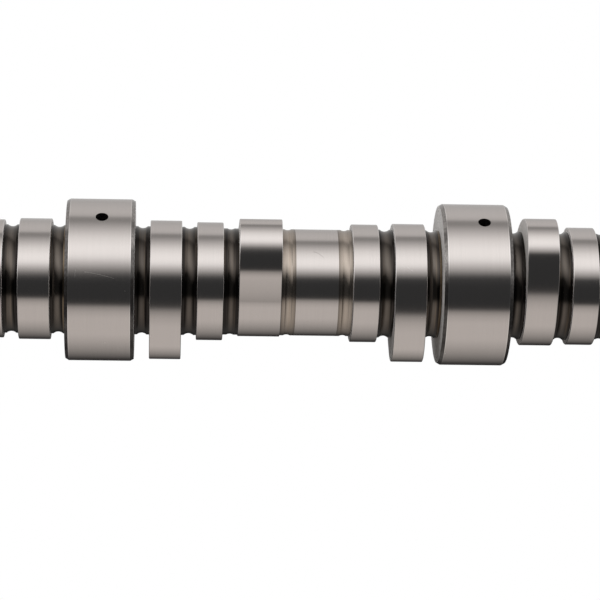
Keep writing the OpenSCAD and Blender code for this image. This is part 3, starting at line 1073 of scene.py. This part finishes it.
class CAM_OT_studio(bpy.types.Operator):
    """Set up the diffusing tent, the white surround and the camera"""

    bl_idname = "camshaft.studio"
    bl_label = "Studio"

    # The tent's light by elevation in degrees (0 is level in front, 90 straight overhead): its
    # brightness, its warmth, and how many degrees it turns for each metre along the shaft
    GLOW = (
        (-180, 0.08, 0.0, 0), (-176, 0.03, 0.5, 0), (-152, 0.05, 1.0, 0), (-132, 0.23, 1.0, 0),
        (-120, 0.35, 1.0, 0), (-100, 0.54, 1.0, 0), (-84, 0.67, 1.0, 0), (-56, 0.67, 1.0, 0),
        (-46, 0.56, 1.0, 0), (-39, 0.37, 1.0, 0), (-35, 0.10, 0.6, 0), (-32, 0.05, 0.0, 0),
        (-26, 0.043, -0.8, 0), (-4, 0.045, -0.8, 4), (3, 0.058, -0.5, 14), (8, 0.12, 0.1, 11),
        (14, 0.32, 0.3, 7), (20, 0.59, 0.2, 6), (26, 0.88, 0.1, 6), (32, 1.18, 0.0, 7),
        (38, 1.32, 0.0, 8), (44, 1.34, 0.0, 8), (50, 1.30, 0.0, 8), (62, 1.11, 0.1, 8),
        (76, 0.74, 0.2, 8), (87, 0.47, 0.3, 8), (91, 0.37, 0.3, 8), (95, 0.34, 0.3, 8),
        (99, 0.38, 0.3, 8), (104, 0.64, 0.3, 8), (112, 0.71, 0.3, 8), (124, 0.68, 0.3, 8),
        (148, 0.55, 0.3, 8), (168, 0.54, 0.3, 8), (178, 0.40, 0.2, 0), (180, 0.08, 0.0, 0),
    )

    # Steps round the tent and along it, and round the floor
    TENT_STEPS = 720
    TENT_ROWS = 60
    FLOOR_STEPS = 96

    # The light turns no further beyond this distance along the shaft, and fades out over this
    # length beyond its reach
    TURN_REACH = 1.0
    FADE = 0.7

    # How much a warmth of 1 adds to the light's red and takes from its blue
    MORE_RED = 0.045
    LESS_BLUE = 0.04

    # The tent's ends, from the rim to the middle: the radius as a share of the tent's, and the
    # brightness of the lower and of the upper half
    ENDS = ((1.0, 0.05, 0.4), (0.55, 0.05, 0.4), (0.4, 0.5, 1.6), (1 / 260, 0.5, 1.6))

    def execute(self, context):
        scene = context.scene
        s = scene.camshaft_studio
        at, shine, warmth, drift = np.array(self.GLOW).T
        a = np.radians(np.linspace(-180, 180, self.TENT_STEPS + 1))
        x = np.linspace(-s.tent_l / 2, s.tent_l / 2, self.TENT_ROWS + 1)
        shifts = np.clip(x, -self.TURN_REACH, self.TURN_REACH)
        drifted = [np.radians(at + drift * shift) for shift in shifts]
        levels = np.array([np.interp(a, stops, shine) for stops in drifted])
        warmth = np.array([np.interp(a, stops, warmth) for stops in drifted])
        x = x[:, None]
        reach = np.where(a > 0, s.upper_reach, s.lower_reach)
        near = np.clip((reach + self.FADE - abs(x)) / self.FADE, 0, 1)
        levels *= s.far_glow + (1 - s.far_glow) * near
        middle = s.camera_x * X_AXIS
        out = across(a)
        tent = self.card(
            "tent", out * s.tent_r + x[..., None] * X_AXIS + middle, levels * s.gain, warmth
        )
        share, lower, upper = np.array(self.ENDS).T[..., None]
        rings = (share * s.tent_r)[..., None] * out
        levels = s.gain * (lower + (upper - lower) * np.clip(2 * np.sin(a), 0, 1))
        ends = [
            self.card(name, rings + place * X_AXIS + middle, levels, np.zeros(levels.shape))
            for name, place in (("tent_front", x[0]), ("tent_rear", x[-1]))
        ]
        self.floor(s, middle)
        world = scene.world or bpy.data.worlds.new("white surround")
        scene.world = world
        world.use_nodes = True
        background = world.node_tree.nodes["Background"]
        background.inputs["Color"].default_value = (1, 1, 1, 1)
        background.inputs["Strength"].default_value = 1.0
        self.camera(scene, s)
        return {"FINISHED"}

    def floor(self, s, middle):
        """A plain white floor far below the shaft, which casts no light back on it."""
        turn = np.linspace(0, FULL_TURN, self.FLOOR_STEPS, endpoint=False)
        rim = s.floor_r * np.stack([np.cos(turn), np.sin(turn), 0 * turn], -1)
        mesh = bpy.data.meshes.new("floor")
        mesh.from_pydata((rim + middle - (0, 0, s.floor_drop)).tolist(), [], [range(len(rim))])
        disc = self.glowing(mesh, Look("floor"), (1, 1, 1, 1))
        disc.visible_glossy = disc.visible_diffuse = False
        return disc

    def card(self, name, points, levels, warmth):
        """A glowing sheet that lights the shaft and is hidden from the camera. Its light is
        stored in the mesh."""
        mesh = bpy.data.meshes.new(name)
        quads = grid_quads(*points.shape[:2])
        mesh.from_pydata(points.reshape(-1, 3).tolist(), [], quads.tolist())
        for field, values in (("glow", levels), ("warmth", warmth)):
            mesh.attributes.new(field, "FLOAT", "POINT").data.foreach_set(
                "value", np.array(values, np.float32).ravel()
            )
        look = Look(name)
        glow, warm = look.attribute("glow"), look.attribute("warmth")
        light = look.node("ShaderNodeCombineColor", {
            "Red": glow * (1.0 + self.MORE_RED * warm), "Green": glow,
            "Blue": glow * (1.0 - self.LESS_BLUE * warm),
        })
        sheet = self.glowing(mesh, look, light)
        sheet.visible_camera = False
        return sheet

    def glowing(self, mesh, look, light):
        """An object that shines by itself, reflects nothing and casts no shadow."""
        mesh.materials.append(look.set(
            Base_Color=(0, 0, 0, 1), Roughness=1.0, Specular_IOR_Level=0.0,
            Emission_Color=light, Emission_Strength=1.0,
        ))
        sheet = bpy.data.objects.new(mesh.name, mesh)
        bpy.context.scene.collection.objects.link(sheet)
        sheet.visible_shadow = False
        return sheet

    def camera(self, scene, s):
        """Camera that looks level across the shaft, turned by yaw, pitch and roll."""
        ahead = Vector((sin(s.yaw) * cos(s.pitch), cos(s.yaw) * cos(s.pitch), sin(s.pitch)))
        right = Vector((cos(s.yaw), -sin(s.yaw), 0))
        up = right.cross(ahead)
        right, up = (
            cos(s.roll) * right + sin(s.roll) * up,
            cos(s.roll) * up - sin(s.roll) * right,
        )
        data = bpy.data.cameras.new("camera")
        data.sensor_width = 36
        data.angle = s.field
        data.clip_start, data.clip_end = 0.01, 20
        camera = bpy.data.objects.new("camera", data)
        scene.collection.objects.link(camera)
        turn = Matrix((right, up, -ahead)).transposed().to_4x4()
        camera.matrix_world = Matrix.Translation((s.camera_x, -s.camera_y, 0)) @ turn
        scene.camera = camera
        scene.view_settings.view_transform = "Standard"
        scene.view_settings.look = "None"


class CAM_PT_panel(bpy.types.Panel):
    """The add-on's panel in the sidebar"""

    bl_label = "Camshaft"
    bl_idname = "CAM_PT_panel"
    bl_space_type = "VIEW_3D"
    bl_region_type = "UI"
    bl_category = "Camshaft"

    def draw(self, context):
        for step in STEPS:
            self.layout.operator(step.bl_idname)
        for name, kind in SETTINGS.items():
            box = self.layout.box()
            for field in kind.__annotations__:
                box.prop(getattr(context.scene, name), field)


SETTINGS = {
    "camshaft_sizes": ShaftSizes,
    "camshaft_lobes": LobeSizes,
    "camshaft_ends": EndSizes,
    "camshaft_colours": SteelColours,
    "camshaft_studio": StudioSettings,
}
STEPS = (
    CAM_OT_finishes, CAM_OT_journals, CAM_OT_lobes, CAM_OT_side_faces, CAM_OT_oil_holes,
    CAM_OT_necks, CAM_OT_barrels, CAM_OT_ends, CAM_OT_studio,
)
CLASSES = (*SETTINGS.values(), *STEPS, CAM_PT_panel)


def register():
    """Registers every class and adds the settings to the scene."""
    for kind in CLASSES:
        bpy.utils.register_class(kind)
    for name, kind in SETTINGS.items():
        setattr(bpy.types.Scene, name, bpy.props.PointerProperty(type=kind))


def unregister():
    """Takes the settings off the scene and every class out again."""
    for name in SETTINGS:
        delattr(bpy.types.Scene, name)
    for kind in reversed(CLASSES):
        bpy.utils.unregister_class(kind)


def main():
    """Runs every step."""
    register()
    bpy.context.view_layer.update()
    for step in STEPS:
        group, name = step.bl_idname.split(".")
        getattr(getattr(bpy.ops, group), name)()


if __name__ == "__main__":
    main()
